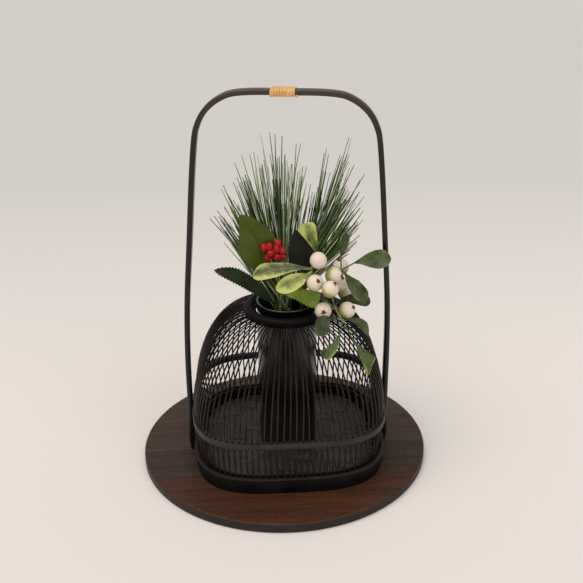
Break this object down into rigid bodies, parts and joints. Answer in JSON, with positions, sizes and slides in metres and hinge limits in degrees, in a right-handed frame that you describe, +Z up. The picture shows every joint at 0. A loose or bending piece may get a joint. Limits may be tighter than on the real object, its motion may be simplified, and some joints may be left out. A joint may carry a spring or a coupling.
{
  "type": "ikebana basket",
  "caption": "Flower basket of fine round bamboo ribs on a rounded-square base, with a tall bent handle, a water tube, its flowers and a round board under it.",
  "frame": {"origin": "middle of the board's underside", "axes": "+Z up, front towards -Y, +X to the right seen from the front"},
  "size_m": [0.3, 0.3, 0.3938],
  "materials": {
    "board_wood": "dark stained and oiled",
    "lacquered_bamboo": "satin black-brown lacquer",
    "worn_bamboo": "satin brown lacquer",
    "neck_lacquer": "matte dark lacquer",
    "handle_lacquer": "satin black-brown lacquer",
    "rattan": "split cane, natural sheen",
    "bamboo_peg": "bare",
    "tube_plastic": "glossy black",
    "pine_needle": "satin green",
    "twig_bark": "rough bark",
    "green_stem": "satin green",
    "olive_leaf": "satin leaf",
    "dark_leaf": "satin leaf",
    "light_leaf": "satin leaf",
    "pale_leaf": "velvety leaf with pale edge",
    "spoon_leaf": "velvety grey-green leaf",
    "red_berry": "satin red",
    "cream_berry": "satin cream with brown tip"
  },
  "bodies": {
    "board": {"board": "board_wood"},
    "basket": {"base_ring": "lacquered_bamboo", "base_lip": "worn_bamboo", "base_lining": "lacquered_bamboo", "floor_mat": "lacquered_bamboo", "rib_set_01": "lacquered_bamboo", "rib_set_02": "lacquered_bamboo", "rib_set_03": "lacquered_bamboo", "rib_set_04": "lacquered_bamboo", "rib_set_05": "lacquered_bamboo", "rib_set_06": "lacquered_bamboo", "rib_set_07": "lacquered_bamboo", "rib_set_08": "lacquered_bamboo", "rib_set_09": "lacquered_bamboo", "rib_set_10": "lacquered_bamboo", "rib_set_11": "lacquered_bamboo", "rib_set_12": "lacquered_bamboo", "waist_hoop_outer": "worn_bamboo", "waist_hoop_inner": "worn_bamboo", "neck_ring": "neck_lacquer", "handle": "handle_lacquer", "handle_binding": "rattan", "peg_base_left": "bamboo_peg", "peg_base_right": "bamboo_peg", "peg_waist_left": "bamboo_peg", "peg_waist_right": "bamboo_peg"},
    "water_tube": {"water_tube": "tube_plastic"},
    "flowers": {"pine_left": "pine_needle", "pine_right": "pine_needle", "pine_twig_left": "twig_bark", "pine_twig_right": "twig_bark", "leafy_stem": "green_stem", "leaf_upright": "olive_leaf", "leaf_left": "dark_leaf", "leaf_back": "dark_leaf", "leaf_light": "light_leaf", "red_berries": "red_berry", "sprig_stem": "green_stem", "sprig_branches": "green_stem", "cream_berry_1": "cream_berry", "cream_berry_2": "cream_berry", "cream_berry_3": "cream_berry", "cream_berry_4": "cream_berry", "cream_berry_5": "cream_berry", "cream_berry_6": "cream_berry", "cream_berry_7": "cream_berry", "cream_berry_8": "cream_berry", "cream_berry_9": "cream_berry", "spoon_leaf_upper": "pale_leaf", "spoon_leaf_long_left": "pale_leaf", "spoon_leaf_short_left": "pale_leaf", "spoon_leaf_right": "spoon_leaf", "spoon_leaf_right_upright": "spoon_leaf", "spoon_leaf_right_drooping": "spoon_leaf", "spoon_leaf_right_low": "spoon_leaf", "spoon_leaf_right_under": "spoon_leaf", "spoon_leaf_under_berry": "spoon_leaf", "spoon_leaf_hanging_left": "spoon_leaf", "spoon_leaf_hanging_right": "spoon_leaf"}
  },
  "joints": [
    {"name": "basket_lift", "type": "slide", "parent": "board", "child": "basket", "axis": [0, 0, 1], "range_m": [0, 0.1]},
    {"name": "tube_lift", "type": "slide", "parent": "basket", "child": "water_tube", "axis": [0, 0, 1], "range_m": [0, 0.014]},
    {"name": "flower_lift", "type": "slide", "parent": "water_tube", "child": "flowers", "axis": [0, 0, 1], "range_m": [0, 0.018]}
  ]
}
